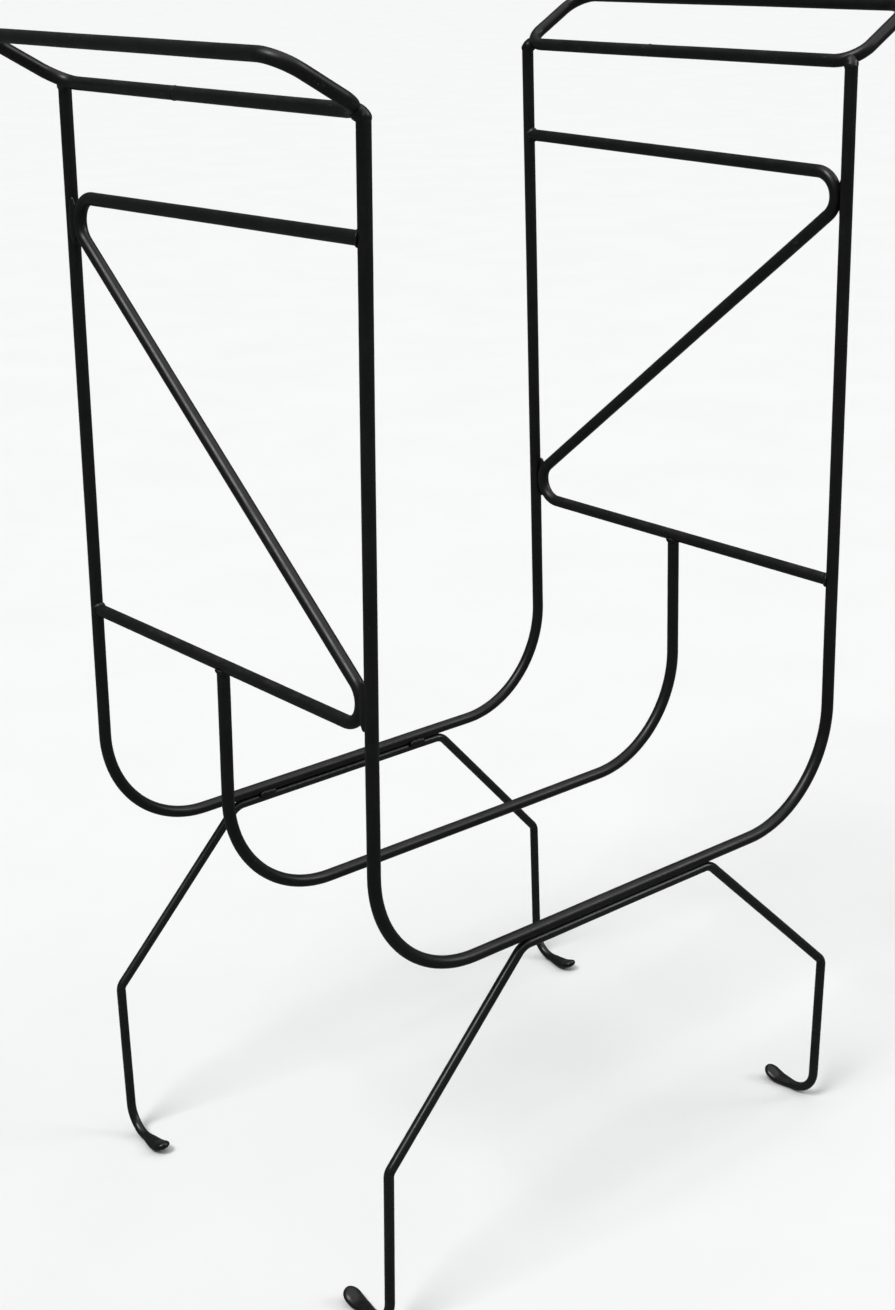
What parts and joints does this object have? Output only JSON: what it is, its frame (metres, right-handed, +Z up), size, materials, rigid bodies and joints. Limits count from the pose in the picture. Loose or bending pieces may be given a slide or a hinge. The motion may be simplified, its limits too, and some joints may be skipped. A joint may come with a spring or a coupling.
{
  "type": "firewood log rack",
  "caption": "Free-standing welded round-rod firewood rack: U-shaped log cradle on splayed legs, Z-braced sides, flared loop handles.",
  "frame": {"origin": "on the floor, under the middle of the rack (bottom centre of its bounding box)", "axes": "+Z up, X across the rack from the left side frame to the right one, Y from the front hoop (-Y) to the back hoop (+Y)"},
  "size_m": [0.4918, 0.3102, 0.7704],
  "materials": {
    "frame_coat": "satin black powder coat on 8 mm round steel rod",
    "leg_coat": "satin black powder coat on 6.4 mm round steel rod",
    "weld_coat": "satin black powder coat over weld beads"
  },
  "bodies": {
    "root": {"front_hoop": "frame_coat", "back_hoop": "frame_coat", "middle_hoop": "frame_coat", "left_brace": "frame_coat", "right_brace": "frame_coat", "left_handle": "frame_coat", "right_handle": "frame_coat", "front_leg_frame": "leg_coat", "back_leg_frame": "leg_coat", "weld_left_upper_rail": "weld_coat", "weld_left_lower_rail": "weld_coat", "weld_left_upper_bend": "weld_coat", "weld_left_lower_bend": "weld_coat", "weld_right_upper_rail": "weld_coat", "weld_right_lower_rail": "weld_coat", "weld_right_upper_bend": "weld_coat", "weld_right_lower_bend": "weld_coat", "weld_left_middle_hoop": "weld_coat", "weld_right_middle_hoop": "weld_coat", "weld_left_handle_front": "weld_coat", "weld_left_handle_back": "weld_coat", "weld_left_handle_seam": "weld_coat", "weld_right_handle_front": "weld_coat", "weld_right_handle_back": "weld_coat", "weld_right_handle_seam": "weld_coat", "weld_front_leg_left": "weld_coat", "weld_front_leg_right": "weld_coat", "weld_back_leg_left": "weld_coat", "weld_back_leg_right": "weld_coat"}
  },
  "joints": []
}
